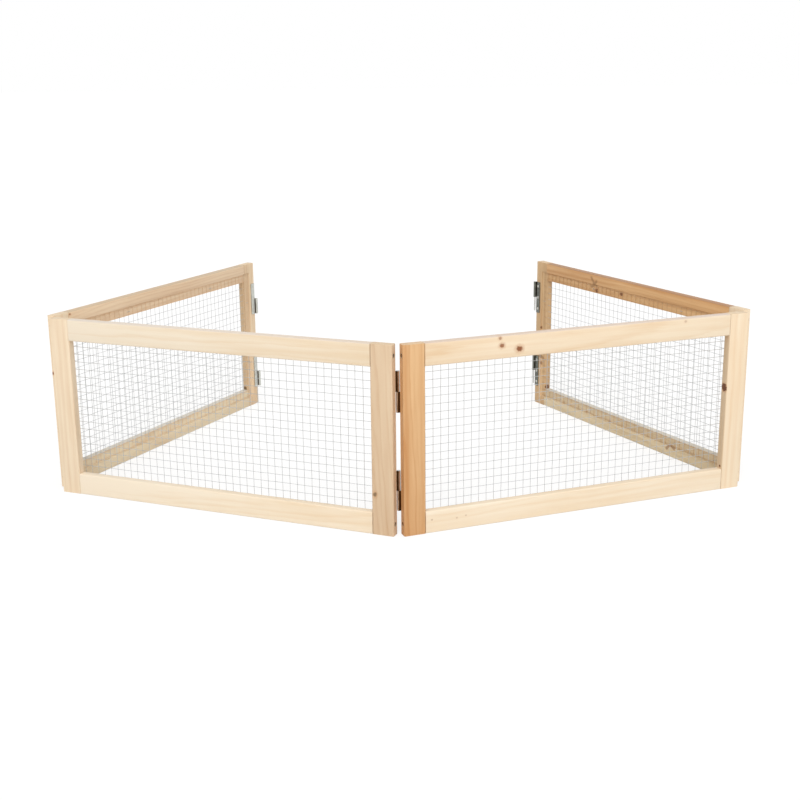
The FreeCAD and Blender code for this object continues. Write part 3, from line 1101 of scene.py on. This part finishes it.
class Metalwork:
    """Finishes and shapes of the metal pieces, which all panels share, and their placing."""

    def __init__(self):
        self.finishes = {name: zinc(name, **finish) for name, finish in FINISHES.items()}
        self.halves = {"pin": hinge_half(HINGE_LENGTH - BARREL_LENGTH), "socket": hinge_half(0)}
        self.pin = pin_mesh()
        self.hinge_screw = hinge_screw_mesh()
        self.frame_screw = frame_screw_mesh()
        self.staple = staple_mesh()

    def place(self, panel, name, copies, finish, slot, node, body=None):
        """Piece of copies placed in the panel's frame, riding on the panel unless a body is given."""
        mesh = joined_copies(name, copies)
        finish_mesh(mesh, self.finishes[finish])
        piece = new_object(panel + "_" + name, mesh)
        piece.matrix_world = MATRICES[panel]
        dress(piece, body or panel, panel + "_" + node)

    def place_wires(self, panel, seed):
        finish = WIRE_FINISHES.get(panel, "wire_zinc")
        self.place(panel, "wires", [(wire_mesh(seed), Matrix())], finish, "galvanised_wire", "wire_mesh")
        staples = [(self.staple, Matrix.Translation((x, REBATE_FLOOR, z))) for x, z in staple_places()]
        self.place(panel, "staples", staples, "staple_steel", "fastener_steel", "mesh_staples")

    def place_hinges(self, panel):
        screws = []
        pins = []
        for level, bottom in HINGE_BOTTOMS.items():
            lift = Matrix.Translation((0, 0, bottom))
            for kind, end in (("pin", Matrix()), ("socket", MIRROR_ENDS)):
                leaf = [(self.halves[kind], end @ lift)]
                finish = HINGE_FINISHES.get((panel, kind), "hinge_zinc")
                node = f"{level}_{kind}_hinge"
                self.place(panel, node + "_leaf", leaf, finish, "hinge_steel", node)
                for z in HINGE_SCREW_HEIGHTS:
                    turn = Matrix.Rotation(math.radians(HINGE_SCREW_TURN * len(screws)), 4, "Z")
                    spot = Matrix.Translation((HINGE_SCREW_X, LEAF_TOP, z))
                    screws.append((self.hinge_screw, end @ lift @ spot @ INWARD @ turn))
            foot = Matrix.Translation((RIGHT_AXIS_X, AXIS_Y, bottom + PIN_END_CLEARANCE))
            pins.append((self.pin, foot))
        self.place(panel, "leaf_screws", screws, "screw_zinc", "fastener_steel", "hinge_screws")
        self.place(panel, "pins", pins, "pin_zinc", "hinge_steel", "hinge_pins", PIN_BODIES.get(panel))

    def place_frame_screws(self, panel):
        heads = []
        seat = COUNTERBORE_DEPTH - FRAME_SCREW_HEAD_HEIGHT
        for number, z in enumerate(FRAME_SCREW_HEIGHTS):
            degrees = FRAME_SCREW_TURN * number + FIRST_FRAME_SCREW_TURN
            turn = Matrix.Rotation(math.radians(degrees), 4, "Z")
            spot = Matrix.Translation((seat, THICKNESS / 2, z)) @ LEFTWARD @ turn
            heads += [(self.frame_screw, spot), (self.frame_screw, MIRROR_ENDS @ spot)]
        self.place(panel, "frame_screw_heads", heads, "dark_screw_zinc", "fastener_steel", "frame_screws")


def place_metal():
    metal = Metalwork()
    for seed, panel in enumerate(PANELS, start=1):
        metal.place_wires(panel, seed)
        metal.place_hinges(panel)
        metal.place_frame_screws(panel)


# Camera of the photograph, in pixels, millimetres of sensor and metres
FOCAL_PIXELS = 1241.09
IMAGE_SIDE = 800
SENSOR = 36.0
CLIP_END = 50
CAMERA_HEIGHT = 0.6953
CAMERA_BACK = 1.77276
CAMERA_RIGHT = 0.0031
CAMERA_TURN = math.radians(0.445)
CAMERA_DOWN = math.radians(15.296)
CAMERA_ROLL = math.radians(-0.571)


def place_camera():
    """Camera placed from the axis of the front fold."""
    data = bpy.data.cameras.new("camera")
    data.sensor_width = SENSOR
    data.lens = FOCAL_PIXELS * SENSOR / IMAGE_SIDE
    data.clip_end = CLIP_END
    camera = new_object("camera", data)
    fold = Matrix.Translation(axis_points()[2])
    turn = Matrix.Rotation(CAMERA_TURN, 4, "Z")
    stand = Matrix.Translation((CAMERA_RIGHT, -CAMERA_BACK, CAMERA_HEIGHT))
    tilt = Matrix.Rotation(math.pi / 2 - CAMERA_DOWN, 4, "X")
    roll = Matrix.Rotation(CAMERA_ROLL, 4, "Z")
    camera.matrix_world = fold @ turn @ stand @ tilt @ roll
    bpy.context.scene.camera = camera


# Floor and light
FLOOR_SIZE = 30.0
FLOOR_DROP = 0.0002
FLOOR_TONES = ((225, 225, 224), (219, 219, 218))
FLOOR_WAVES = 0.7
SHADOW_SHARE = 0.3
FLOOR_LIGHT = 0.86
AMBIENT = 0.6
AMBIENT_COLOUR = (1.0, 0.99, 0.975, 1.0)
WHITE = (1.0, 1.0, 1.0, 1.0)
SUNS = {
    "key": dict(toward=(-0.1, -0.8, 0.85), strength=1.3, spread=50),
    "fill": dict(toward=(0.6, -0.7, 0.6), strength=0.45, spread=80),
}


def background_rays(nodes):
    """1 for rays that should meet the white background: seen, mirrored or let through."""
    rays = nodes.node("LightPath", {}).outputs
    return nodes.largest(rays["Is Camera Ray"], rays["Is Glossy Ray"], rays["Is Transmission Ray"])


def place_floor():
    """White floor that keeps a soft shadow and throws a plain amount of light back."""
    def build(bm):
        corners = ((-1, -1), (1, -1), (1, 1), (-1, 1))
        bm.faces.new([bm.verts.new((x * FLOOR_SIZE, y * FLOOR_SIZE, -FLOOR_DROP)) for x, y in corners])

    floor = new_object("floor", mesh_from("floor", build))
    shader = Shader("floor_white")
    patches = shader.dappled(shader.noise(shader.place, scale=FLOOR_WAVES), *FLOOR_TONES)
    plain = shader.fed("BsdfDiffuse", patches)
    shadow = shader.fed("BsdfDiffuse", (SHADOW_SHARE, SHADOW_SHARE, SHADOW_SHARE, 1))
    glow = shader.fed("Emission", WHITE, 1 - SHADOW_SHARE * FLOOR_LIGHT)
    white = shader.fed("AddShader", shadow, glow)
    seen = shader.fed("MixShader", background_rays(shader), plain, white)
    floor.data.materials.append(shader.showing(seen))


def soft_sun(name, toward, strength, spread):
    """Distant lamp, equally bright over the whole floor; spread is in degrees."""
    data = bpy.data.lights.new(name, "SUN")
    data.energy = strength
    data.angle = math.radians(spread)
    lamp = new_object(name, data)
    lamp.rotation_euler = Vector(toward).to_track_quat("Z", "Y").to_euler()


def light_studio():
    world = bpy.data.worlds.new("studio")
    bpy.context.scene.world = world
    world.use_nodes = True
    nodes = Nodes(world.node_tree)
    ambient = nodes.fed("Background", AMBIENT_COLOUR, AMBIENT)
    white = nodes.fed("Background", WHITE, 1.0)
    seen = nodes.fed("MixShader", background_rays(nodes), ambient, white)
    nodes.node("OutputWorld", {"Surface": seen})
    for name, sun in SUNS.items():
        soft_sun(name, **sun)


place_battens()
place_metal()
place_camera()
place_floor()
light_studio()
bpy.context.scene.view_settings.view_transform = "Standard"
